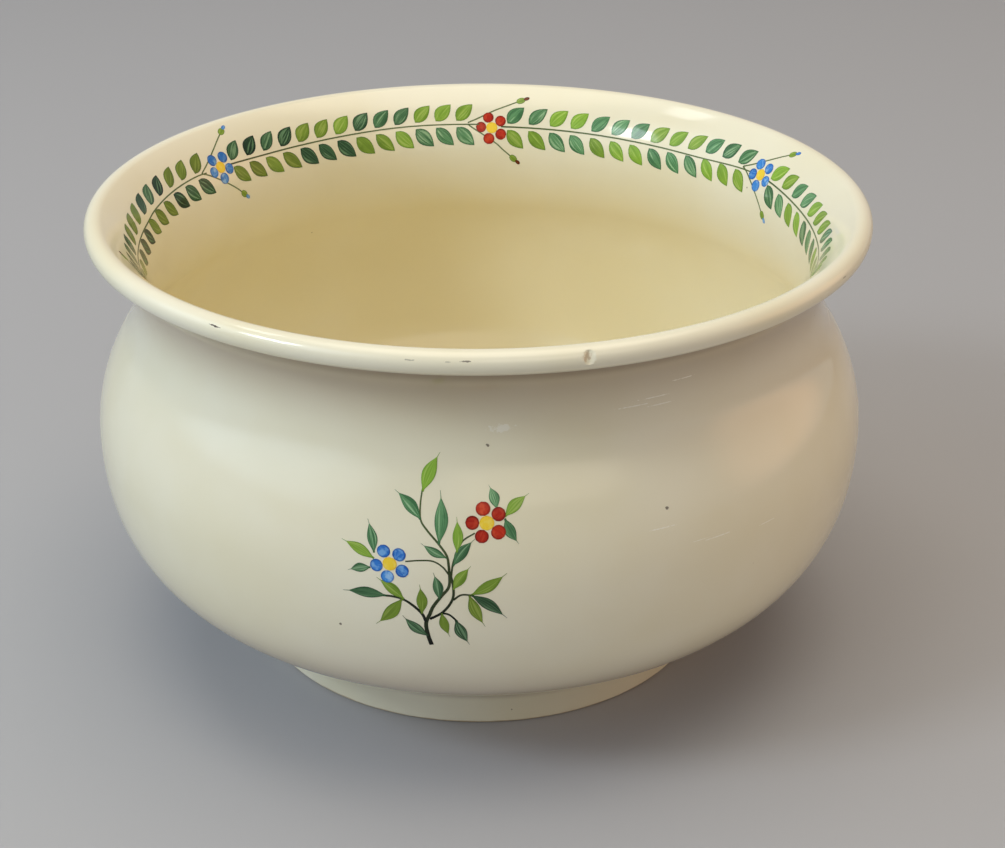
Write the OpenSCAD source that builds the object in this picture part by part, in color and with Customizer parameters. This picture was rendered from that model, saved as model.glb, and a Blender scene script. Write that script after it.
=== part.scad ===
// Glazed earthenware chamber pot: a thrown bowl with a drawn-in neck and a flaring mouth, a rolled
// lip, a turned foot ring and a strap handle. The pieces are luted together with thin beds of slip.
// Millimetres. The pot's axis is Z, it stands on z = 0 and its handle is at +Y.

/* [Bowl] */
// Outside diameter at the widest part of the belly
belly_d = 225.6; // [190:0.2:260]
// Height from the top of the foot to the widest part of the belly
belly_rise = 49.5; // [40:0.5:64]
// Fullness of the belly below its widest part, where 2 is an ellipse
belly_fullness = 2.25; // [2:0.05:2.8]
// Height from the widest part of the belly to the neck
shoulder_h = 42.5; // [36:0.5:54]
// How far the neck draws in from the belly, on each side
neck_in = 13; // [11:0.2:20]
// Height from the neck to the top of the rim
collar_h = 24; // [19:0.5:28]
// How far the rim stands out from the neck, on each side
rim_out = 12; // [11:0.2:17]
// Thickness of the wall
wall = 4.8; // [4:0.1:6]
// Thickness of the floor at the pot's axis
floor_t = 7; // [5:0.5:10]

/* [Rolled lip] */
// Thickness of the rolled lip
lip_d = 6.5; // [5.5:0.1:8.5]
// Length of flaring wall from the lip's joint to the crest of the roll
lip_root = 3.5; // [3:0.1:5]
// Thickness of the tongue along the edge of the bowl
tongue_t = 1.6; // [1:0.1:2]
// Depth of the tongue
tongue_l = 2; // [1.5:0.1:2.4]

/* [Foot ring] */
// Outside diameter of the ring on the table
foot_d = 137; // [120:0.5:150]
// How far the ring splays out from its joint with the bowl to the table, on each side
foot_splay = 2; // [0:0.1:4]
// Height of the ring's joint with the bowl above the table
foot_h = 19.5; // [12:0.5:26]
// Thickness of the ring at its joint with the bowl
foot_t = 6.5; // [5:0.5:9]
// Rounding of the ring's two edges on the table
foot_edge_r = 1; // [0.5:0.1:2.4]
// Depth of the spigot under the floor, which sits inside the ring
spigot_h = 5.5; // [3:0.5:8]

/* [Handle] */
// Width of the strap
strap_w = 22; // [16:0.5:28]
// Thickness of the strap
strap_t = 9; // [7:0.5:12]
// Room for fingers between the belly and the strap
finger_gap = 28; // [22:0.5:36]
// Height of the strap's upper end above the widest part of the belly, at its middle
upper_end_rise = 33; // [28:0.5:36]
// Depth of the strap's lower end below the widest part of the belly, at its middle
lower_end_drop = 19; // [12:0.5:26]
// Height of the strap's furthest point above the widest part of the belly
bow_rise = 11; // [4:0.5:14]

/* [Joints] */
// Thickness of the slip in every joint
slip_t = 0.4; // [0.3:0.05:0.6]

/* [Hidden] */
$fn = 144;

glaze_cream = [0.93, 0.89, 0.76];
fired_slip = [0.86, 0.80, 0.66];

// Steps along each curve of the outline
belly_steps = 20;
shoulder_steps = 10;
flare_steps = 14;
floor_steps = 12;
edge_steps = 6;

// Radii, and heights above the table
belly_r = belly_d / 2;
belly_z = foot_h + belly_rise;
neck_r = belly_r - neck_in;
neck_z = belly_z + shoulder_h;
lip_r = lip_d / 2;
lip_c = [neck_r + rim_out - lip_r, neck_z + collar_h - lip_r];
foot_r = foot_d / 2;
seat_r = foot_r - foot_splay;
ring_in_r = seat_r - foot_t;
spigot_r = ring_in_r - slip_t;
spigot_z = foot_h - spigot_h;
floor_z = spigot_z + floor_t;

// The flare is one arc, narrowest at the neck, whose inner face runs smoothly over the crest of the lip
lip_reach = rim_out - lip_r;
lip_lift = collar_h - lip_r;
lip_step = wall - lip_r;
flare_r = (lip_reach ^ 2 + lip_lift ^ 2 - lip_step ^ 2) / (2 * (lip_step + lip_reach));
flare_c = [neck_r + flare_r, neck_z];

// The shoulder is one arc, upright at the belly and tangent to the flare's arc
shoulder_r = (neck_in ^ 2 + shoulder_h ^ 2) / (2 * neck_in) - flare_r;
shoulder_c = [belly_r - shoulder_r, belly_z];
shoulder_a = atan2(flare_c[1] - shoulder_c[1], flare_c[0] - shoulder_c[0]);

// Angles about the flare's centre of the lip's crest and of the joint that carries the lip
crest_a = atan2(lip_c[1] - flare_c[1], lip_c[0] - flare_c[0]);
seat_a = crest_a + lip_root / (flare_r + wall / 2) * 180 / PI;

// A mark is a point on the bowl's outside with the direction straight out of the wall there
function belly_mark(a) =
    let (p = 2 / belly_fullness,
         w = belly_r - seat_r,
         out = [sin(a) ^ (2 - p) / w, -cos(a) ^ (2 - p) / belly_rise])
    [[seat_r + w * sin(a) ^ p, belly_z - belly_rise * cos(a) ^ p], out / norm(out)];
function arc_mark(c, r, a, side) = [c + r * [cos(a), sin(a)], side * [cos(a), sin(a)]];
function offset_line(marks, d) = [for (m = marks) m[0] + d * m[1]];
function reversed(points) = [for (i = [len(points) - 1 : -1 : 0]) points[i]];
function arc(c, r, from, to, steps) =
    [for (i = [0 : steps]) c + r * [cos(from + (to - from) * i / steps), sin(from + (to - from) * i / steps)]];

bowl_marks = concat(
    [for (i = [0 : belly_steps]) belly_mark(90 * i / belly_steps)],
    [for (i = [1 : shoulder_steps]) arc_mark(shoulder_c, shoulder_r, shoulder_a * i / shoulder_steps, 1)],
    [for (i = [1 : flare_steps])
        let (from = 180 + shoulder_a)
        arc_mark(flare_c, flare_r, from + (seat_a - from) * i / flare_steps, -1)]);

// The floor dishes gently from the foot of the inner wall to the pot's axis
floor_line = [for (i = [1 : floor_steps])
    let (u = i / floor_steps)
    [seat_r * (1 - u), floor_z + (foot_h + wall - floor_z) * (1 + cos(180 * u)) / 2]];

// A point at the lip's joint, out from the flare's centre and along the wall towards the lip
function seat_point(out, along) =
    flare_c + out * [cos(seat_a), sin(seat_a)] + along * [sin(seat_a), -cos(seat_a)];
tongue_low = flare_r + (wall - tongue_t) / 2;
tongue_high = tongue_low + tongue_t;
tongue_line = [
    seat_point(flare_r, 0), seat_point(tongue_low, 0), seat_point(tongue_low, tongue_l),
    seat_point(tongue_high, tongue_l), seat_point(tongue_high, 0), seat_point(flare_r + wall, 0)];
groove_line = [
    seat_point(flare_r + wall, slip_t), seat_point(tongue_high + slip_t, slip_t),
    seat_point(tongue_high + slip_t, tongue_l + slip_t), seat_point(tongue_low - slip_t, tongue_l + slip_t),
    seat_point(tongue_low - slip_t, slip_t), seat_point(flare_r, slip_t)];

// The handle's two quarter bows meet at its furthest point, and its ends run level into the bowl
bow_r = belly_r + finger_gap + strap_t / 2;
bow_z = belly_z + bow_rise;
upper_bow_r = upper_end_rise - bow_rise;
lower_bow_r = lower_end_drop + bow_rise;

// A ring turned on the pot's axis from an outline of radius and height
module turned(outline) {
    rotate_extrude() polygon(outline);
}

// The bowl's outside as a filled solid, grown by a thickness, to shape what seats on it
module bowl_outside(grown) {
    line = offset_line(bowl_marks, grown);
    turned(concat([[0, line[0][1]]], line, [[0, line[len(line) - 1][1]]]));
}

module bowl() {
    color(glaze_cream)
        turned(concat(
            [[0, spigot_z], [spigot_r, spigot_z], [spigot_r, foot_h]],
            offset_line(bowl_marks, 0),
            tongue_line,
            reversed(offset_line(bowl_marks, -wall)),
            floor_line));
}

module rim_slip() {
    color(fired_slip) turned(concat(tongue_line, groove_line));
}

// The roll is a round bead, with a root that carries the flare on to the joint
module rim_roll() {
    root_in = arc(flare_c, flare_r + wall, crest_a, seat_a, edge_steps);
    behind = [seat_point(flare_r - lip_d, slip_t), seat_point(flare_r - lip_d, -lip_d),
              seat_point(flare_r + 2 * lip_d, -lip_d), seat_point(flare_r + 2 * lip_d, slip_t)];
    color(glaze_cream) rotate_extrude() difference() {
        union() {
            translate(lip_c) circle(lip_r);
            polygon(concat([lip_c], root_in, [seat_point(flare_r, 0)]));
        }
        polygon(behind);
        polygon(concat(groove_line, [seat_point(flare_r, 0), seat_point(flare_r + wall, 0)]));
    }
}

module foot_ring() {
    top_z = foot_h - slip_t;
    color(glaze_cream)
        turned(concat(
            [[seat_r, top_z], [ring_in_r, top_z]],
            arc([ring_in_r + foot_edge_r, foot_edge_r], foot_edge_r, 180, 270, edge_steps),
            arc([foot_r - foot_edge_r, foot_edge_r], foot_edge_r, -90, 0, edge_steps)));
}

module foot_slip() {
    color(fired_slip)
        turned([[spigot_r, spigot_z], [ring_in_r, spigot_z], [ring_in_r, foot_h - slip_t],
                [seat_r, foot_h - slip_t], [seat_r, foot_h], [spigot_r, foot_h]]);
}

module strap_section() {
    flat_w = strap_w - strap_t;
    square([strap_t, flat_w], center = true);
    for (side = [-1, 1])
        translate([0, side * flat_w / 2]) circle(d = strap_t);
}

// Stands a flat drawing of radius and height upright at the back of the pot
module at_back(centre) {
    rotate([90, 0, 90]) translate([centre[0], centre[1], 0]) children();
}

// A quarter bow whose outer end is at the handle's furthest point
module bow(radius, from) {
    at_back([bow_r - radius, bow_z]) rotate(from)
        rotate_extrude(angle = 90) translate([radius, 0]) strap_section();
}

// An end of the strap runs from its bow on to the pot's axis, and is cut to the bowl where it is used
module strap_end(bow_radius, height) {
    at_back([bow_r - bow_radius, height])
        rotate([0, -90, 0]) linear_extrude(bow_r - bow_radius) rotate(90) strap_section();
}

module upper_end() {
    strap_end(upper_bow_r, belly_z + upper_end_rise);
}

module lower_end() {
    strap_end(lower_bow_r, belly_z - lower_end_drop);
}

module handle() {
    color(glaze_cream) difference() {
        union() {
            bow(upper_bow_r, 0);
            bow(lower_bow_r, -90);
            upper_end();
            lower_end();
        }
        bowl_outside(slip_t);
    }
}

// The slip under an end of the strap fills the space between the strap and the bowl
module handle_slip() {
    color(fired_slip) intersection() {
        difference() {
            bowl_outside(slip_t);
            bowl_outside(0);
        }
        children();
    }
}

module upper_handle_slip() {
    handle_slip() upper_end();
}

module lower_handle_slip() {
    handle_slip() lower_end();
}

bowl();
rim_roll();
rim_slip();
foot_ring();
foot_slip();
handle();
upper_handle_slip();
lower_handle_slip();
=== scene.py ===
import math
import random

import bmesh
import bpy
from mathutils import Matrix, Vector


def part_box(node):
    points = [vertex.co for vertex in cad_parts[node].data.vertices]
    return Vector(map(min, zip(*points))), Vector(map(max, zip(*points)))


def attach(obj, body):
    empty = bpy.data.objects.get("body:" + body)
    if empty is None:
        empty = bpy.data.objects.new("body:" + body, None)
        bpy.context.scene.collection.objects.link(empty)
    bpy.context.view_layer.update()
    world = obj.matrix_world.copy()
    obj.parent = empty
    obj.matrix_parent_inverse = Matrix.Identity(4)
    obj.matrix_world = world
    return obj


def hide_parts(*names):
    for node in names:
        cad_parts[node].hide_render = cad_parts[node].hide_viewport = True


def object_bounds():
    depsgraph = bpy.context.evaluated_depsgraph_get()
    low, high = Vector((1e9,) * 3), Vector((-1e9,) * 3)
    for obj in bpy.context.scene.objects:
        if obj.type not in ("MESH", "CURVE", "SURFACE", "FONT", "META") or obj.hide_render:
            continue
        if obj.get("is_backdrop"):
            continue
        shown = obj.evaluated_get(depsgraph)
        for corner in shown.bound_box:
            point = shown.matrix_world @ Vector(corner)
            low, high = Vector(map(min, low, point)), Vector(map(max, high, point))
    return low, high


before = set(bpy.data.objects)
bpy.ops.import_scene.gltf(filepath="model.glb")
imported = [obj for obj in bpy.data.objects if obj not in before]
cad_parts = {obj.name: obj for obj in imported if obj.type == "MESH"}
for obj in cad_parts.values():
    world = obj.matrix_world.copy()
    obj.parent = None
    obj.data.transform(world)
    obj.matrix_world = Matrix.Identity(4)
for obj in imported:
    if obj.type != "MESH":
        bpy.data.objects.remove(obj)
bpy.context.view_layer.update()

# The bowl is one pot of pale earthenware, thrown on the wheel from its floor to the flaring mouth
# and turned thin when leather-hard. A clear, slightly yellow glaze covers it inside and out.
mm = 0.001
belly_r, belly_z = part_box("bowl")[1].x, 69 * mm
seat_r, seat_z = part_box("foot_slip")[1].x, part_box("foot_slip")[1].z
rim_r, rim_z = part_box("rim_roll")[1].x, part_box("rim_roll")[1].z
under_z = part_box("bowl")[0].z
neck_r, neck_z = 99.8 * mm, 111.5 * mm
wall_t, floor_t = 4.8 * mm, 7 * mm
lip_r, lip_root = 3.25 * mm, 3.5 * mm
spigot_r = 59.6 * mm
belly_power = 2 / 2.25
belly_steps, shoulder_steps, flare_steps, floor_steps = 44, 22, 32, 16
edge_step = 0.1 * mm
lathe_steps, merge_within = 256, 0.001 * mm


def polar(centre, radius, angle):
    return centre + radius * Vector((math.cos(angle), math.sin(angle)))


def stepped(first, last, count):
    return [first + (last - first) * i / count for i in range(count + 1)]


# The flare is one arc that runs over the crest of the lip, and the shoulder is an arc tangent to
# it. A short last step at the lip's joint keeps the edge there crisp.
lip_c = Vector((rim_r - lip_r, rim_z - lip_r))
reach, lift = lip_c.x - neck_r, lip_c.y - neck_z
over = wall_t - lip_r
flare_r = (reach**2 + lift**2 - over**2) / (2 * (over + reach))
flare_c = Vector((neck_r + flare_r, neck_z))
inner_flare_r = flare_r + wall_t
draw_in, shoulder_h = belly_r - neck_r, neck_z - belly_z
shoulder_r = (draw_in**2 + shoulder_h**2) / (2 * draw_in) - flare_r
shoulder_c = Vector((belly_r - shoulder_r, belly_z))
shoulder_a = math.atan2(shoulder_h, flare_c.x - shoulder_c.x)
crest_a = math.atan2(lift, lip_c.x - flare_c.x)
joint_a = crest_a + lip_root / (flare_r + wall_t / 2)
near_joint_a = joint_a + edge_step / flare_r

# Each mark on the outline is a point on the outside with the direction straight out of the wall
marks = []
wide, tall = belly_r - seat_r, belly_z - seat_z
for a in stepped(0, math.pi / 2, belly_steps):
    s, c = math.sin(a), math.cos(a)
    point = Vector((seat_r + wide * s**belly_power, belly_z - tall * c**belly_power))
    out = Vector((s ** (2 - belly_power) / wide, -(c ** (2 - belly_power)) / tall))
    marks.append((point, out.normalized()))
for a in stepped(0, shoulder_a, shoulder_steps)[1:]:
    marks.append((polar(shoulder_c, shoulder_r, a), polar(Vector((0, 0)), 1, a)))
for a in stepped(math.pi + shoulder_a, near_joint_a, flare_steps)[1:] + [joint_a]:
    marks.append((polar(flare_c, flare_r, a), polar(Vector((0, 0)), -1, a)))

bowl_outline = [(0, under_z), (spigot_r, under_z), (spigot_r, seat_z)]
bowl_outline += [p for p, out in marks]
inner_start = len(bowl_outline)
bowl_outline += [p - wall_t * out for p, out in reversed(marks)]
floor_z, floor_edge_z = under_z + floor_t, seat_z + wall_t
for u in stepped(0, 1, floor_steps)[1:]:
    dish = (1 + math.cos(math.pi * u)) / 2
    bowl_outline.append((seat_r * (1 - u), floor_z + (floor_edge_z - floor_z) * dish))


def turned(outline, closed=False, inside_from=None):
    """An outline of radius and height turned once round the pot's axis.

    Its points from inside_from on are marked as the pot's inside.
    """
    bm = bmesh.new()
    inside = bm.verts.layers.float.new("inside")
    verts = [bm.verts.new((r, 0, z)) for r, z in outline]
    if inside_from:
        for v in verts[inside_from:]:
            v[inside] = 1
    edges = [bm.edges.new(pair) for pair in zip(verts, verts[1:])]
    if closed:
        edges.append(bm.edges.new((verts[-1], verts[0])))
    bmesh.ops.spin(
        bm,
        geom=verts + edges,
        axis=(0, 0, 1),
        cent=(0, 0, 0),
        angle=2 * math.pi,
        steps=lathe_steps,
        use_merge=True,
    )
    bmesh.ops.remove_doubles(bm, verts=bm.verts, dist=merge_within)
    bmesh.ops.recalc_face_normals(bm, faces=bm.faces)
    return bm


def fired(name, bm, material, crease=35):
    """A finished piece of the pot, smooth up to the given crease in degrees."""
    mesh = bpy.data.meshes.new(name)
    bm.to_mesh(mesh)
    bm.free()
    mesh.shade_smooth()
    mesh.set_sharp_from_angle(angle=math.radians(crease))
    mesh.materials.append(material)
    made = bpy.data.objects.new(name, mesh)
    bpy.context.scene.collection.objects.link(made)
    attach(made, "root")
    return made


class Wire:
    """An output of a shader node, so that shader sums are written as sums.

    Without a socket it is the bare start of a tree of nodes.
    """

    def __init__(self, tree, socket=None):
        self.tree = tree
        self.socket = socket

    def feed(self, target):
        self.tree.links.new(self.socket, target)

    def node(self, kind, settings, sockets, output=0):
        made = self.tree.nodes.new(kind)
        for name, value in settings.items():
            setattr(made, name, value)
        for key, value in sockets.items():
            if isinstance(value, Wire):
                value.feed(made.inputs[key])
            else:
                made.inputs[key].default_value = value
        return Wire(self.tree, made.outputs[output])

    def math(self, operation, first, second=0.0):
        return self.node("ShaderNodeMath", {"operation": operation}, {0: first, 1: second})

    def __add__(self, other):
        return self.math("ADD", self, other)

    def __radd__(self, other):
        return self.math("ADD", other, self)

    def __sub__(self, other):
        return self.math("SUBTRACT", self, other)

    def __rsub__(self, other):
        return self.math("SUBTRACT", other, self)

    def __mul__(self, other):
        return self.math("MULTIPLY", self, other)

    def __rmul__(self, other):
        return self.math("MULTIPLY", other, self)

    def __abs__(self):
        return self.math("ABSOLUTE", self)

    def rise(self, low, high):
        """0 below low, 1 above high and a smooth step between."""
        smooth = {"interpolation_type": "SMOOTHSTEP"}
        return self.node("ShaderNodeMapRange", smooth, {0: self, 1: low, 2: high})

    def tint(self, low, high):
        """The colour low where this is 0, shading to the colour high where it is 1.

        Mix has its colours behind the sockets 6, 7 and 2, whose names it uses more than once.
        """
        return self.node("ShaderNodeMix", {"data_type": "RGBA"}, {0: self, 6: low, 7: high}, 2)

    def vector(self, operation, sockets, output="Vector"):
        return self.node("ShaderNodeVectorMath", {"operation": operation}, sockets, output)

    def times(self, factors):
        return self.vector("MULTIPLY", {0: self, 1: factors})

    def length(self):
        return self.vector("LENGTH", {0: self}, "Value")

    def parts(self):
        first = self.node("ShaderNodeSeparateXYZ", {}, {0: self})
        return [Wire(self.tree, part) for part in first.socket.node.outputs]

    def noise(self, scale, detail):
        sockets = {"Vector": self, "Scale": scale, "Detail": detail}
        return self.node("ShaderNodeTexNoise", {}, sockets)

    def spot(self, centre, radius, squash=(1, 1, 1)):
        """1 within a ragged spot about a place given in millimetres, and 0 outside it."""
        edge = radius * mm
        far = self.vector("SUBTRACT", {0: self, 1: Vector(centre) * mm}).times(squash).length()
        ragged = far + (self.noise(1100, 3) - 0.5) * (2.4 * edge)
        return 1 - ragged.rise(0.6 * edge, edge)


def rgb(red, green, blue):
    """A colour as a screen shows it, 0 to 255, as the shader takes it."""
    parts = [value / 255 for value in (red, green, blue)]
    return tuple(v / 12.92 if v < 0.04045 else ((v + 0.055) / 1.055) ** 2.4 for v in parts) + (1.0,)


class Glaze:
    """A cream glaze over earthenware, whose parts a piece can change before it is finished."""

    def __init__(self, name):
        self.material = bpy.data.materials.new(name)
        self.material.use_nodes = True
        tree = self.material.node_tree
        self.shader = tree.nodes["Principled BSDF"]
        self.place = Wire(tree).node("ShaderNodeTexCoord", {}, {}, "Object")
        self.z = self.place.parts()[2]
        self.radius = self.place.times((1, 1, 0)).length()
        cloud = self.place.noise(16, 3)
        self.colour = cloud.rise(0.35, 0.7).tint(rgb(243, 236, 213), rgb(238, 229, 199))
        speck = self.place.node("ShaderNodeTexVoronoi", {}, {"Vector": self.place, "Scale": 45})
        self.stain(1 - speck.rise(0.008, 0.016), (112, 84, 56), 0.7)
        wiped = self.place.times((3, 3, 14)).noise(14, 4)
        self.roughness = 0.07 + 0.05 * cloud + 0.1 * wiped.rise(0.58, 0.74)
        turning = self.place.times((0.12, 0.12, 1)).noise(150, 2)
        ripple = self.place.noise(48, 1)
        orange_peel = self.place.noise(210, 1)
        self.height = turning * 0.5 + ripple * 2.4 + orange_peel * 0.35

    def marked(self, layer):
        """A number that the vertices of the piece carry."""
        return self.place.node("ShaderNodeAttribute", {"attribute_name": layer}, {}, "Fac")

    def stain(self, mask, colour, strength=1.0):
        self.colour = (mask * strength).tint(self.colour, rgb(*colour))

    def roughen(self, mask, amount):
        self.roughness = self.roughness + mask * amount

    def finish(self, ior=1.5):
        self.shader.inputs["IOR"].default_value = ior
        self.colour.feed(self.shader.inputs["Base Color"])
        self.roughness.feed(self.shader.inputs["Roughness"])
        relief = {"Strength": 0.6, "Distance": 0.05 * mm, "Height": self.height}
        self.place.node("ShaderNodeBump", {}, relief).feed(self.shader.inputs["Normal"])
        return self.material


# Browns for painted shade in the creases and under the lip, and a pale for wear and painted glints
pooled_shade_brown, lip_shade_brown, worn_and_glint_pale = (98, 72, 54), (110, 82, 60), (252, 249, 240)
bowl_glaze = Glaze("bowl_glaze")
inside = bowl_glaze.marked("inside")
outside = (1 - inside) * bowl_glaze.radius.rise(seat_r - 0.2 * mm, seat_r)

# Painted shade: the glaze is drawn yellower deep inside, for the warm shade within the bowl, and
# browner low on the belly, in the crease above the foot and in the neck up to the lip, as shadow
deep = inside * (1 - bowl_glaze.z.rise(70 * mm, 118 * mm))
bowl_glaze.stain(deep, (240, 224, 170), 0.38)
# Painted shade low on the belly, which faces down away from the light
low_belly_shade = outside * (1 - bowl_glaze.z.rise(seat_z, 50 * mm))
bowl_glaze.stain(low_belly_shade, (186, 162, 132), 0.65)
# Painted shade in the crease above the foot, partly glaze pooled there
pooled = outside * (1 - bowl_glaze.z.rise(seat_z, seat_z + 0.7 * mm))
bowl_glaze.stain(pooled, pooled_shade_brown, 0.85)
# Painted shade in the neck under the overhang of the lip
neck_shade = outside * bowl_glaze.z.rise(104 * mm, 126 * mm)
bowl_glaze.stain(neck_shade, (156, 130, 102), 0.6)
# Painted shadow just under the lip
under_lip_shadow = outside * bowl_glaze.z.rise(123.5 * mm, 127.5 * mm)
bowl_glaze.stain(under_lip_shadow, lip_shade_brown, 0.55)

# Pale level streaks on the right of the front are partly scuffs from years of use and partly
# painted glints of light in the glaze. There is a rubbed patch, and a few larger specks of iron
# burnt through
scuffs_and_glints = [
    ((44, -89.7, 113.8), 0.4),
    ((45.3, -88.9, 111.4), 0.35),
    ((38.5, -92.1, 112.4), 0.35),
    ((51.3, -86.4, 117.5), 0.3),
    ((45.5, -101.2, 82.4), 0.35),
    ((61.3, -94.1, 76), 0.35),
    ((56.1, -97.2, 76.6), 0.25),
    ((75.2, -83.7, 74.2), 0.25),
]
# Each streak is a pale scuff and a painted glint, and is rougher
for centre, radius in scuffs_and_glints:
    scuff_and_glint = bowl_glaze.place.spot(centre, radius, (0.08, 0.08, 2))
    bowl_glaze.stain(scuff_and_glint, worn_and_glint_pale, 0.6)
    bowl_glaze.roughen(scuff_and_glint, 0.3)
rubbed = bowl_glaze.place.spot((5.5, -99.7, 110.2), 1.5, (0.45, 0.45, 1.3))
bowl_glaze.stain(rubbed, worn_and_glint_pale, 0.45)
iron_specks = [((-36, -106, 57.6), 0.45), ((1.9, -100.4, 106), 0.45), ((47.1, -98.9, 87), 0.5)]
for centre, radius in iron_specks:
    bowl_glaze.stain(bowl_glaze.place.spot(centre, radius), (74, 56, 40), 0.8)
bowl = fired("bowl_body", turned(bowl_outline, inside_from=inner_start), bowl_glaze.finish())
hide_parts("bowl")

# The rolled lip is the edge of the same clay, folded outwards and down into a round bead while it
# was on the wheel. The glaze is thin over its crest, with a few small knocks that show the body.
root_steps, bead_steps, under_steps = 8, 40, 2
bead_far = (lip_c - flare_c).length
meet_a = crest_a + math.acos((bead_far**2 + flare_r**2 - lip_r**2) / (2 * bead_far * flare_r))
meet = polar(flare_c, flare_r, meet_a)
end_a = math.atan2(meet.y - lip_c.y, meet.x - lip_c.x)
root_a = [joint_a] + stepped(joint_a - edge_step / inner_flare_r, crest_a, root_steps)
lip_outline = [polar(flare_c, inner_flare_r, a) for a in root_a]
lip_outline += [polar(lip_c, lip_r, a) for a in stepped(crest_a, end_a, bead_steps)[1:]]
lip_outline += [polar(flare_c, flare_r, a) for a in stepped(meet_a, joint_a, under_steps)[1:]]

# A nick at the front is pressed in towards the middle of the bead, on a finer mesh
nick = Vector((26.1, -108.5, 133.4)) * mm
nick_wide, nick_tall, nick_deep, nick_near = 1.3, 1.9, 0.7 * mm, 5 * mm
knocked = turned(lip_outline, closed=True)
near = [e for e in knocked.edges if all((v.co - nick).length < nick_near for v in e.verts)]
bmesh.ops.subdivide_edges(knocked, edges=near, cuts=5, use_grid_fill=True)
bead_middle = Vector((nick.x, nick.y, 0)).normalized() * lip_c.x + Vector((0, 0, lip_c.y))
for v in knocked.verts:
    off = v.co - nick
    away = Vector((off.x / nick_wide, off.y / nick_tall, off.z / nick_tall)).length / mm
    if away < 1:
        v.co += (bead_middle - v.co).normalized() * nick_deep * (1 - away**2) ** 0.5

lip_glaze = Glaze("lip_glaze")
# Painted shade: a dark line in the crease where the bead turns under to meet the neck
crease_beside = 1 - abs(lip_glaze.radius - meet.x).rise(0.15 * mm, 0.6 * mm)
crease_level = 1 - abs(lip_glaze.z - meet.y).rise(0.15 * mm, 0.6 * mm)
lip_glaze.stain(crease_beside * crease_level, (104, 76, 54), 0.9)
# Painted shade on the underside of the bead
bead_under_shade = 1 - lip_glaze.z.rise(lip_c.y - 0.95 * lip_r, lip_c.y - 0.5 * lip_r)
lip_glaze.stain(bead_under_shade, lip_shade_brown, 0.6)
flaked = lip_glaze.place.spot((25.7, -108.6, 133.5), 1.3)
lip_glaze.stain(flaked, (180, 146, 98), 0.5)
chips = [
    ((-65.7, -89.7, 134.1), 0.4, 1.0),
    ((-64.6, -90.5, 134.0), 0.35, 1.0),
    ((-16.6, -110.2, 133.7), 0.4, 0.5),
    ((-7.5, -111.2, 133.6), 0.3, 0.4),
    ((-3.2, -111.3, 133.8), 0.4, 0.75),
    ((95.6, -57.8, 132.9), 0.5, 0.5),
]
for centre, radius, strength in chips:
    chip = lip_glaze.place.spot(centre, radius, (0.3, 0.3, 2))
    lip_glaze.stain(chip, (66, 48, 34), strength)
    lip_glaze.roughen(chip, 0.4)
lip = fired("lip", knocked, lip_glaze.finish())
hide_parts("rim_roll", "rim_slip")

# The foot ring is a coil of the same clay, luted under the floor with slip and turned to a slight
# splay. It was wiped clear of glaze where it stands, so the resting edge shows bare, rubbed clay.
ring_r, ring_in_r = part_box("foot_ring")[1].x, 60 * mm
edge_r, edge_steps = 1 * mm, 8
outer_edge_c = Vector((ring_r - edge_r, edge_r))
inner_edge_c = Vector((ring_in_r + edge_r, edge_r))
foot_outline = [(seat_r, seat_z), (seat_r + 0.02 * mm, seat_z - 0.2 * mm)]
foot_outline += [polar(outer_edge_c, edge_r, a) for a in stepped(0, -math.pi / 2, edge_steps)]
foot_outline += [
    polar(inner_edge_c, edge_r, a) for a in stepped(-math.pi / 2, -math.pi, edge_steps)
]

# Inside the ring, the slip was wiped to a small fillet under the floor
wiped_slip = [(60, 11.6), (59.8, 12.8), (59.2, 13.6), (58, 14), (58, 14.5)]
foot_outline += [(r * mm, z * mm) for r, z in wiped_slip]

foot_glaze = Glaze("foot_glaze")
foot_glaze.height = foot_glaze.height + foot_glaze.place.noise(75, 1) * 2.5
# Painted shade on the top of the foot ring, under the overhang of the belly
foot_glaze.stain(foot_glaze.z.rise(7 * mm, 10 * mm), (118, 90, 68), 0.5)
ragged_edge = foot_glaze.place.noise(120, 4) * (1.2 * mm)
bare = 1 - (foot_glaze.z - ragged_edge).rise(-0.1 * mm, 0.3 * mm)
foot_glaze.stain(bare, (206, 184, 148))
# Painted shade in the crease where the foot meets the belly, partly glaze pooled there
joint = foot_glaze.z.rise(seat_z - 1.2 * mm, seat_z - 0.2 * mm)
foot_glaze.stain(joint, pooled_shade_brown, 0.8)
foot_glaze.roughen(bare, 0.6)
foot = fired("foot", turned(foot_outline, closed=True), foot_glaze.finish())
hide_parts("foot_ring", "foot_slip")

# The handle is a strap pulled from a lump of the same clay, bent to a loop while soft, pressed on
# at both ends with slip and smoothed into the wall with the fingers.
strap_low, strap_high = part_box("handle")
half_w, half_t = strap_high.x, 4.5 * mm
bow_y, bow_z = strap_high.y - half_t, belly_z + 11 * mm
upper_z, lower_z = strap_high.z - half_t, strap_low.z + half_t
upper_r, lower_r = upper_z - bow_z, bow_z - lower_z
start_y, taper = 96 * mm, 0.12
side_power, face_power = 0.72, 0.8
fillet, sunk_in = 4 * mm, 2 * mm
strap = bmesh.new()


def pulled(open_end, steps):
    """The strap drawn on from its open end, in steps of millimetres along y."""
    for step in steps:
        grown = bmesh.ops.extrude_edge_only(strap, edges=open_end)["geom"]
        moved = [g for g in grown if isinstance(g, bmesh.types.BMVert)]
        bmesh.ops.translate(strap, vec=(0, step * mm, 0), verts=moved)
        edges = [g for g in grown if isinstance(g, bmesh.types.BMEdge)]
        open_end = [e for e in edges if all(v in moved for v in e.verts)]
    return open_end


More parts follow.
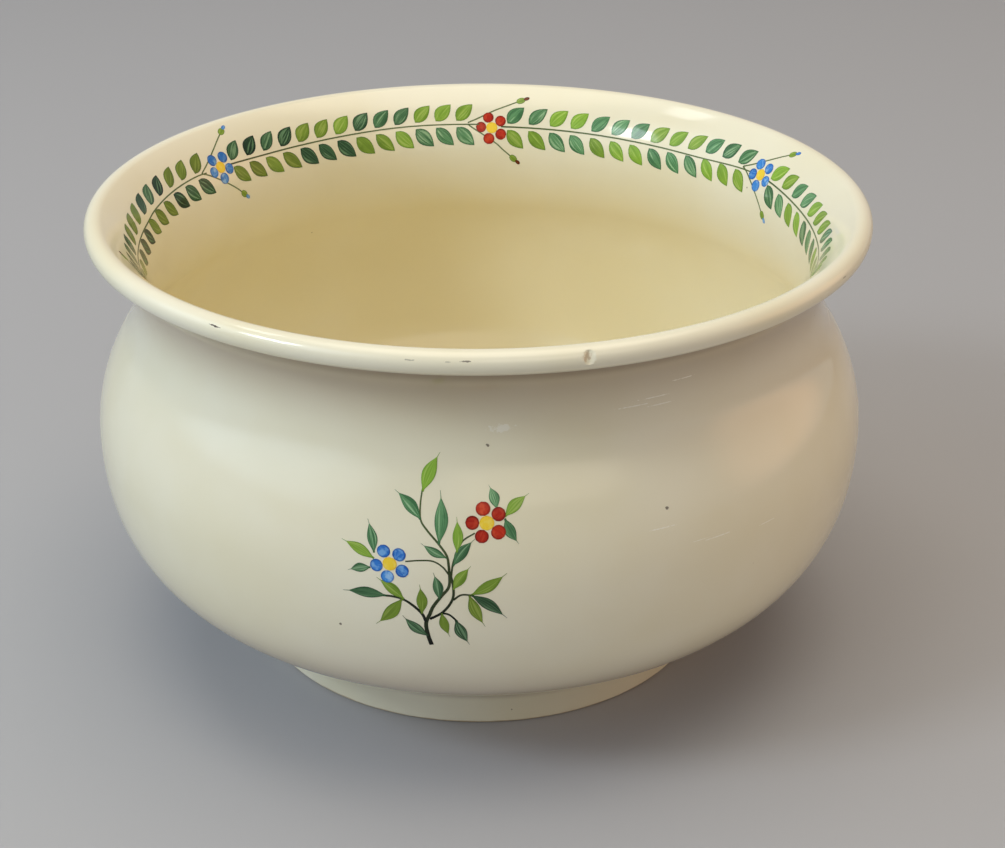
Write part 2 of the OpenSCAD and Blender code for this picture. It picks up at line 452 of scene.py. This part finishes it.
def wall_at(z):
    """Radius of the outside of the bowl at a height."""
    for (low, _), (high, _) in zip(marks, marks[1:]):
        if low.y <= z <= high.y:
            return low.x + (high.x - low.x) * (z - low.y) / max(high.y - low.y, 1e-9)
    return neck_r


def clamped(value):
    return min(1, max(0, value))


for v in bmesh.ops.create_circle(strap, segments=36, radius=1)["verts"]:
    c, s = v.co.x, v.co.y
    x = half_w * math.copysign(abs(c) ** side_power, c)
    z = upper_z + half_t * math.copysign(abs(s) ** face_power, s)
    v.co = (x, start_y, z)
out_steps = [2, 1.5, 1, 1, 1, 0.5, 0.5, 0.5, 0.5, 0.5, 1, 1.5, 2.5, 4, 4.5, 4.8]
open_end = pulled(strap.edges[:], out_steps)
for radius, steps in [(upper_r, 16), (lower_r, 20)]:
    bent = bmesh.ops.spin(
        strap,
        geom=open_end,
        axis=(1, 0, 0),
        cent=(0, bow_y - radius, bow_z),
        angle=-math.pi / 2,
        steps=steps,
    )
    open_end = [g for g in bent["geom_last"] if isinstance(g, bmesh.types.BMEdge)]
back_steps = [-0.8, -0.5, -0.5, -0.5, -0.5, -0.5, -0.5, -1, -1, -1, -1.5, -1.5]
pulled(open_end, back_steps)

# The strap narrows downwards, spreads in a fillet where it meets the wall and ends inside the wall
for v in strap.verts:
    x, y, z = v.co
    end_z, bend_r = (upper_z, upper_r) if z > bow_z else (lower_z, lower_r)
    clear = max(math.hypot(x, y) - wall_at(z), 0)
    v.co.x = x * (1 - taper * clamped((upper_z - z) / (upper_z - lower_z)))
    if y < bow_y - bend_r + 1 * mm and clear < fillet:
        spread = fillet - math.sqrt(fillet**2 - (fillet - clear) ** 2)
        out = Vector((x / half_w**2, 0, (z - end_z) / half_t**2)).normalized()
        v.co += spread * out
    sunk = wall_at(v.co.z) - sunk_in
    if math.hypot(v.co.x, v.co.y) < sunk:
        v.co.y = math.sqrt(sunk**2 - v.co.x**2)
bmesh.ops.remove_doubles(strap, verts=strap.verts, dist=merge_within)
bmesh.ops.holes_fill(strap, edges=[e for e in strap.edges if e.is_boundary])
bmesh.ops.recalc_face_normals(strap, faces=strap.faces)

handle = fired("strap_handle", strap, Glaze("handle_glaze").finish(), crease=60)
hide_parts("handle", "upper_handle_slip", "lower_handle_slip")

# The border is a garland painted with a fine brush on the inside of the flare, in enamels that
# sank into the glaze when it was fired again: one running stem with leaves on both sides.
film = 0.05 * mm
stem_a = math.radians(154)
stem_r = polar(flare_c, inner_flare_r, stem_a).x
petal_start = 1.85
round_grid = {"across": 6, "along": 12}
hand = random.Random(4)


def on_flare(turn):
    """Places a drawing inside the flare, from the stem at turn: x clockwise, y up to the lip."""

    def put(x, y, lift):
        angle = math.radians(turn) - x / stem_r
        p = polar(flare_c, inner_flare_r + lift, stem_a - y / inner_flare_r)
        return Vector((p.x * math.cos(angle), p.x * math.sin(angle), p.y))

    return put


def leaf_width(t):
    return math.sin(math.pi * t**0.85) ** 0.9


def dab_width(t):
    return math.sqrt(max(0, 1 - (2 * t - 1) ** 2))


def paint():
    bm = bmesh.new()
    bm.loops.layers.uv.new("brush")
    bm.verts.layers.float.new("tone")
    return bm


def dab(bm, put, base, tip, width, shape, bend=0.0, tone=0.5, lift=film, across=2, along=8):
    """One touch of the brush from base to tip, in millimetres on the drawing.

    A tone of 1 is the darkest.
    """
    base, tip = Vector(base) * mm, Vector(tip) * mm
    run = tip - base
    side = Vector((run.y, -run.x)).normalized()
    layer = bm.verts.layers.float["tone"]
    grid = bmesh.ops.create_grid(bm, x_segments=across, y_segments=along, size=1, calc_uvs=True)
    for v in grid["verts"]:
        t = (v.co.y + 1) / 2
        aside = v.co.x * shape(t) * width * mm / 2 + bend * mm * math.sin(math.pi * t)
        at = base + run * t + side * aside
        v.co = put(at.x, at.y, lift)
        v[layer] = tone
    bmesh.ops.remove_doubles(bm, verts=grid["verts"], dist=merge_within)


def curve_point(points, t):
    """A smooth curve through given points, with t from 0 to 1."""
    whole = t * (len(points) - 1)
    i = min(int(whole), len(points) - 2)
    f = whole - i
    p1, p2 = Vector(points[i]), Vector(points[i + 1])
    p0 = Vector(points[i - 1]) if i else 2 * p1 - p2
    p3 = Vector(points[i + 2]) if i + 2 < len(points) else 2 * p2 - p1
    return 0.5 * (
        2 * p1
        + (p2 - p0) * f
        + (2 * p0 - 5 * p1 + 4 * p2 - p3) * f**2
        + (3 * p1 - 3 * p2 + p3 - p0) * f**3
    )


def line(bm, put, points, start, end, tones=(0.1, 0.1), lift=0.75 * film):
    """A drawn line through points in millimetres, from one width to another."""
    count = 5 * (len(points) - 1)
    layer = bm.verts.layers.float["tone"]
    grid = bmesh.ops.create_grid(bm, x_segments=2, y_segments=count, size=1, calc_uvs=True)
    for v in grid["verts"]:
        t = (v.co.y + 1) / 2
        at = curve_point(points, t)
        run = curve_point(points, min(1, t + 0.01)) - curve_point(points, max(0, t - 0.01))
        side = Vector((run.y, -run.x)).normalized()
        at = (at + side * v.co.x * (start + (end - start) * t) / 2) * mm
        v.co = put(at.x, at.y, lift)
        v[layer] = tones[0] + (tones[1] - tones[0]) * t


def flower(petals, centres, put, middle, turn, size):
    """Five round dabs about a yellow one, each about size millimetres across."""
    middle = Vector(middle)
    for i in range(5):
        angle = math.radians(turn + 72 * i + hand.uniform(-4, 4))
        out = Vector((math.cos(angle), math.sin(angle)))
        petal_d = size * hand.uniform(0.95, 1.05)
        start, end = middle + out * petal_start, middle + out * (petal_start + petal_d)
        tone, lift = hand.random(), 1.25 * film
        dab(petals, put, start, end, petal_d, dab_width, tone=tone, lift=lift, **round_grid)
    centre_d = 1.04 * size
    start, end = middle - Vector((0, centre_d / 2)), middle + Vector((0, centre_d / 2))
    dab(centres, put, start, end, centre_d, dab_width, tone=0.3, lift=1.4 * film, **round_grid)


def enamel(name, pale, deep, streaks=1.0, mottle=0.0, pooled=0.36):
    """A brushed enamel in a pale and a deep tone.

    Each tone has a body, a darker edge where the paint pooled and a paler streak.
    """
    glaze = Glaze(name)
    brush = glaze.place.node("ShaderNodeUVMap", {"uv_map": "brush"}, {})
    tone = glaze.marked("tone")
    u, v, _ = brush.parts()
    u, v = u * 2 - 1, v * 2 - 1
    drift = glaze.place.noise(380, 2) - 0.5
    inward = (1 - u * u) * (1 - v * v)
    bristles = brush.node(
        "ShaderNodeTexNoise",
        {"noise_dimensions": "4D"},
        {"Vector": brush.times((7, 0.8, 1)), "W": tone * 37, "Scale": 1.0, "Detail": 2.0},
    )
    body, edge, streak = [tone.tint(rgb(*a), rgb(*b)) for a, b in zip(pale, deep)]
    heavy = (u * 0.5 + drift * 1.5).rise(0.05, 0.7) * 0.5
    colour = heavy.tint(body, edge)
    colour = ((1 - bristles.rise(0.38, 0.5)) * (0.6 * streaks)).tint(colour, edge)
    combed = bristles.rise(0.52, 0.64) * inward.rise(0.2, 0.6)
    colour = (combed * streaks).tint(colour, streak)
    colour = (glaze.place.noise(520, 2).rise(0.47, 0.66) * mottle).tint(colour, streak)
    pool = 1 - (inward + drift * 0.5).rise(0.02, pooled)
    glaze.colour = (pool * 0.8).tint(colour, edge)
    return glaze.finish(ior=1.3)


def painted(name, bm, material):
    bmesh.ops.solidify(bm, geom=bm.faces[:], thickness=2 * film)
    bmesh.ops.recalc_face_normals(bm, faces=bm.faces)
    return fired(name, bm, material)


dark_leaf = enamel(
    "dark_green",
    [(110, 164, 112), (52, 104, 64), (170, 206, 160)],
    [(36, 64, 42), (14, 30, 20), (96, 134, 96)],
)
light_leaf = enamel(
    "leaf_green",
    [(148, 190, 70), (108, 150, 44), (190, 214, 116)],
    [(112, 132, 44), (76, 96, 30), (150, 166, 74)],
    streaks=0.7,
)
stem_green = enamel(
    "stem_green",
    [(106, 124, 74), (82, 100, 54), (132, 148, 98)],
    [(12, 22, 14), (6, 12, 8), (30, 44, 30)],
    streaks=0.5,
)
red = enamel(
    "red",
    [(212, 58, 28), (140, 18, 8), (232, 104, 62)],
    [(178, 34, 18), (104, 8, 4), (206, 74, 44)],
    streaks=0.3,
    mottle=0.5,
    pooled=0.62,
)
blue = enamel(
    "blue",
    [(66, 146, 228), (24, 88, 180), (166, 206, 244)],
    [(46, 116, 206), (16, 66, 150), (126, 180, 232)],
    streaks=0.3,
    mottle=0.8,
    pooled=0.5,
)
yellow = enamel(
    "yellow",
    [(253, 220, 66), (244, 196, 44), (254, 232, 120)],
    [(250, 208, 52), (236, 174, 32), (252, 222, 96)],
    streaks=0.2,
    mottle=0.6,
)
brown = enamel(
    "brown",
    [(128, 54, 26), (90, 32, 16), (156, 86, 48)],
    [(84, 30, 16), (54, 18, 10), (112, 54, 30)],
)

# Each length of garland starts at a flower: its turn in degrees, its petals, how far it stands
# above the stem, how dark its leaves are drawn (darkest round the left of the inside, partly as
# painted shade), the leaf pairs (D has its dark leaf above, L below) and the points of the stem
dark, light, stems, reds, blues, centres, browns = [paint() for _ in range(7)]
stem_back_left = [(3, 0.3), (17, -0.3), (33, -0.3), (48, 0), (72, 0.6), (97, 0.4)]
stem_back_right = [(3, -0.3), (26, -0.6), (55, -1.1), (75, -1.1), (92, 0.1), (101, 0.5)]
stem_right_side = [(3, 0.5), (25, -1), (50, -1.5), (75, -1), (96, -0.5)]
stem_front_right = [(3, 0), (25, 0.5), (50, 0), (75, -0.5), (98, 0)]
stem_front_left = [(3, 0), (25, -0.5), (50, 0), (75, 0.5), (98, 0)]
stem_left_side = [(3, 0), (25, -1), (52, -0.9), (64, 0), (79, 0.8), (92, 1), (98, 0.6)]
garland = [
    (145.7, blues, 0.5, 0.9, "DDDDLLLDDDLLL", stem_back_left),
    (87.4, reds, -0.7, 0.3, "DDLLDDDLLLDDD", stem_back_right),
    (27.2, blues, 0.9, 0.2, "LLDDLLLDDDLLL", stem_right_side),
    (327, reds, 0, 0.4, "DDDLLLDDDLLDD", stem_front_right),
    (267, blues, 0, 0.6, "LLLDDDLLLDDDL", stem_front_left),
    (207, reds, 0, 0.8, "DDDDLLLDDDLLL", stem_left_side),
]
red_bud_stems = [
    [(-8, 1), (-4.5, 2.5), (0.5, 5), (4, 6.5), (8, 8.3)],
    [(-8, 0.5), (-6, -1), (1, -5.5), (4, -8), (6.5, -10)],
]
blue_bud_stems = [
    [(-9, 1), (-5, 3), (0, 6), (4, 8.7), (6.5, 10.4)],
    [(-9, 1), (-6, -0.5), (0, -4.5), (4, -7.5), (6, -9.3)],
]
first_leaf, flower_room = 5.2, 17
for number, (turn, petals, rise, depth, pairs, stem) in enumerate(garland):
    put = on_flare(turn)
    line(stems, put, stem, 0.5, 0.4, (0.1 + depth / 2, 0.05))
    next_turn, _, _, next_depth, _, _ = garland[(number + 1) % len(garland)]
    room = math.radians((turn - next_turn) % 360) * stem_r / mm
    spaces = len(pairs) - 1
    pitch = (room - flower_room) / spaces
    for i, kind in enumerate(pairs):
        above, below = (dark, light) if kind == "D" else (light, dark)
        x = first_leaf + pitch * i
        y = curve_point(stem, min(1, x / stem[-1][0])).y
        sway = hand.uniform(-0.3, 0.3)
        charge = depth + (next_depth - depth) * i / spaces
        tones = [clamped(charge + hand.uniform(-0.25, 0.25)) for _ in range(2)]
        for bm, base, tip, bend, tone in [
            (above, (x, y + 1.2), (x + 5.5 + sway, y + 6.8), -0.2, tones[0]),
            (below, (x, y - 1.0), (x + 6.0 + sway, y - 7.0), 0.2, tones[1]),
        ]:
            dab(bm, put, base, tip, hand.uniform(4.3, 4.9), leaf_width, bend, tone)
    is_red = petals is reds
    bud_tips = browns if is_red else blues
    for bud_stem in red_bud_stems if is_red else blue_bud_stems:
        line(stems, put, bud_stem, 0.45, 0.4)
        end = Vector(bud_stem[-1])
        ahead = (end - Vector(bud_stem[-2])).normalized()
        dab(light, put, end - ahead * 0.3, end + ahead * 2.8, 2.1, dab_width, tone=0.6)
        start, end = end + ahead * 2.2, end + ahead * 4.2
        dab(bud_tips, put, start, end, 1.2, dab_width, tone=0.7, lift=1.2 * film)
    flower(petals, centres, put, (0, rise), 180 if is_red else 195, 3.6)

# The sprays are three bunches of flowers painted on the belly with the same brush and enamels: one
# at the front and one to each side of the handle.
sprig_root = (-13, -14.4)
root_fine, end_fine, leaf_slim = 0.88, 0.9, 0.95
pale_height, stem_darker = 44, 8
lengths = [0.0]
for (low, _), (high, _) in zip(marks, marks[1:]):
    lengths.append(lengths[-1] + (high - low).length)


def on_belly(turn, root):
    """Places a drawing on the belly, from a root: x to the right round the pot, y up the wall."""

    def put(x, y, lift):
        s = lengths[belly_steps] + root[1] * mm + y
        i = max(j for j in range(len(marks) - 1) if lengths[j] <= s)
        f = (s - lengths[i]) / (lengths[i + 1] - lengths[i])
        p = marks[i][0].lerp(marks[i + 1][0], f) + lift * marks[i][1].lerp(marks[i + 1][1], f)
        angle = math.radians(turn) + (root[0] * mm + x) / p.x
        return Vector((p.x * math.sin(angle), -p.x * math.cos(angle), p.y))

    return put


def tip_width(t):
    """A leaf with a short stalk, drawn out to a hair at its tip."""
    return max(math.sin(math.pi * min(1, t / 0.88)) ** 1.15, 0.16 * (1.15 - t))


def tone_at(y):
    """The paint was thickest at the root, so it is darkest there."""
    return clamped(1 - y / pale_height)


# Each stem has its points and its widths at both ends, and each leaf its base, tip, width and bend
sprig_stems = [
    (
        [(0.3, -0.5), (-0.5, 2.5), (-1, 6.5), (0, 9.5), (1, 12), (3, 15), (5, 18), (5, 23)],
        1.3,
        0.75,
    ),
    ([(5, 23), (4.5, 26), (2.5, 29), (-0.5, 32.5), (-2, 35), (-2, 39), (-1.5, 42.5)], 0.75, 0.4),
    ([(0, 8), (3, 10), (5, 12.5), (6, 15), (6, 18), (5.5, 20.5)], 0.8, 0.7),
    ([(5.5, 20.5), (6, 24), (7, 27), (8.5, 30), (11.5, 32)], 0.6, 0.4),
    ([(5, 21), (3.5, 23), (1, 24.5), (-2.5, 24.5), (-6, 24)], 0.5, 0.4),
    ([(-1, 7), (-2, 9.5), (-4.5, 12), (-7, 13.5), (-9.5, 14), (-12, 14)], 0.9, 0.6),
    ([(6, 14), (8, 15.5), (10.5, 15.5)], 0.6, 0.5),
    ([(3, 10), (5, 9.5), (7, 7.5)], 0.7, 0.5),
]
sprig_dark = [
    ((-2, 35), (-8.5, 42), 3.4, 0.5),
    ((2.5, 29), (3, 42.5), 3.6, 0.5),
    ((4.5, 25.5), (-2, 29), 2.4, -0.3),
    ((6, 23.5), (11.5, 30.5), 3, -0.4),
    ((17, 38), (15, 44), 2.8, 0.3),
    ((19, 35.5), (22.5, 29), 3, 0.4),
    ((-14, 25.5), (-15.5, 34), 2.8, 0.3),
    ((-15, 21.5), (-21, 20), 2.6, 0.3),
    ((-11, 14), (-22.5, 14), 3.2, 0.4),
    ((-0.5, 2.5), (-7, 8.5), 3, -0.4),
    ((2.5, 14), (1, 21.5), 2.8, 0.4),
    ((10.5, 15.5), (19.5, 8.5), 3.2, -0.5),
    ((6.5, 8), (10, 0), 3.2, 0.3),
]
sprig_light = [
    ((-1.5, 42), (3, 52), 3.6, -0.4),
    ((7, 27), (7, 36), 2.8, 0.3),
    ((19, 36), (25, 41.5), 3.2, -0.4),
    ((-14, 24), (-22.5, 28), 3, 0.3),
    ((-6.5, 13.5), (-13.5, 19), 3, 0.3),
    ((-7, 13.5), (-14, 5), 3.6, -0.5),
    ((-2, 9.5), (-2.5, 18), 3, 0.3),
    ((10.5, 15.5), (19.5, 21.5), 3.2, 0.4),
    ((10, 15.5), (14, 6), 3.2, 0.4),
    ((6, 17), (10.5, 23.5), 3, -0.3),
    ((3, 10), (5, 2.5), 2.6, 0.3),
]
for turn in (0, 120, -120):
    put = on_belly(turn, sprig_root)
    for points, start, end in sprig_stems:
        tones = [tone_at(y - stem_darker) for y in (points[0][1], points[-1][1])]
        line(stems, put, points, start * root_fine, end * end_fine, tones)
    for strokes, bm in [(sprig_dark, dark), (sprig_light, light)]:
        for base, tip, width, bend in strokes:
            tone = tone_at((base[1] + tip[1]) / 2) + hand.uniform(-0.1, 0.1)
            dab(bm, put, base, tip, width * leaf_slim, tip_width, bend, tone, along=14)
    flower(reds, centres, put, (14.5, 34.5), 180, 3.55)
    flower(blues, centres, put, (-10, 23), 190, 3.5)

painted("painted_stems", stems, stem_green)
painted("painted_dark_leaves", dark, dark_leaf)
painted("painted_light_leaves", light, light_leaf)
painted("painted_red_petals", reds, red)
painted("painted_blue_petals", blues, blue)
painted("painted_centres", centres, yellow)
painted("painted_bud_tips", browns, brown)

# The pot stands on a plain pale table under a large soft light from the left, with weaker warm
# light from above and from the right, and two small bright panels that show in the glaze. It is
# seen from the front and a little above.
table_r = 1.5
table_mesh = bpy.data.meshes.new("table")
flat = bmesh.new()
bmesh.ops.create_circle(flat, cap_ends=True, segments=96, radius=table_r)
flat.to_mesh(table_mesh)
flat.free()
table = bpy.data.objects.new("table", table_mesh)
bpy.context.scene.collection.objects.link(table)
table_top = bpy.data.materials.new("table_top")
table_top.use_nodes = True
table_shader = table_top.node_tree.nodes["Principled BSDF"]
table_shader.inputs["Base Color"].default_value = rgb(176, 176, 181)
table_shader.inputs["Roughness"].default_value = 0.9
table_mesh.materials.append(table_top)
table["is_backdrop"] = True

# Each lamp has a name, a place, a width and a height, its watts, how soft its edge is and a colour
lamps = [
    ("window", (-1.6, -0.6, 1.1), 3.2, 1.7, 30, 0.8, (0.69, 0.87, 1.0)),
    ("window_pane", (-1.27, -0.62, 1.14), 0.5, 0.36, 9, 0.3, (0.85, 0.94, 1.0)),
    ("skylight", (-0.73, 0.42, 1.42), 0.5, 0.2, 1.2, 0.3, (0.95, 0.98, 1.0)),
    ("front_window", (0.5, -1.5, 1.15), 2.0, 1.0, 8, 0.8, (1.0, 0.88, 0.7)),
    ("ceiling", (0.1, 0, 2.0), 2.4, 2.4, 42, 0.8, (1.0, 0.9, 0.72)),
    ("lamp", (1.8, 0.2, 0.5), 2.0, 1.2, 10, 0.8, (1.0, 0.54, 0.24)),
]
aim = Vector((0, 0, 0.06))
for name, place, width, height, watts, edge, colour in lamps:
    lamp = bpy.data.lights.new(name, "AREA")
    lamp.shape = "RECTANGLE"
    lamp.size = width
    lamp.size_y = height
    lamp.energy = watts
    lamp.color = colour
    lamp.use_nodes = True
    pane = Wire(lamp.node_tree).node("ShaderNodeNewGeometry", {}, {}, "Parametric")
    u, v, _ = pane.parts()
    faded = (u * (1 - u) * v * (1 - v) * 16).rise(0, edge)
    faded.feed(lamp.node_tree.nodes["Emission"].inputs["Strength"])
    stand = bpy.data.objects.new(name, lamp)
    stand.location = place
    stand.rotation_euler = (aim - Vector(place)).to_track_quat("-Z", "Y").to_euler()
    bpy.context.scene.collection.objects.link(stand)

room = bpy.data.worlds.new("room")
room.use_nodes = True
walls = room.node_tree.nodes["Background"]
seen = Wire(room.node_tree).node("ShaderNodeLightPath", {}, {}, "Is Camera Ray")
mirrored = seen.node("ShaderNodeLightPath", {}, {}, "Is Glossy Ray")
walls.inputs["Color"].default_value = (0.95, 0.97, 1.0, 1.0)
(seen * 0.4 + mirrored * 0.4 + 0.16).feed(walls.inputs["Strength"])
bpy.context.scene.world = room

view = bpy.data.cameras.new("camera")
view.sensor_width = 36
view.lens = 70
camera = bpy.data.objects.new("camera", view)
camera.location = (0, -0.5313, 0.3268)
camera.rotation_euler = (math.radians(63.48), 0, math.radians(-0.73))
bpy.context.scene.collection.objects.link(camera)
bpy.context.scene.camera = camera
bpy.context.scene.view_settings.view_transform = "Standard"

low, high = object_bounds()
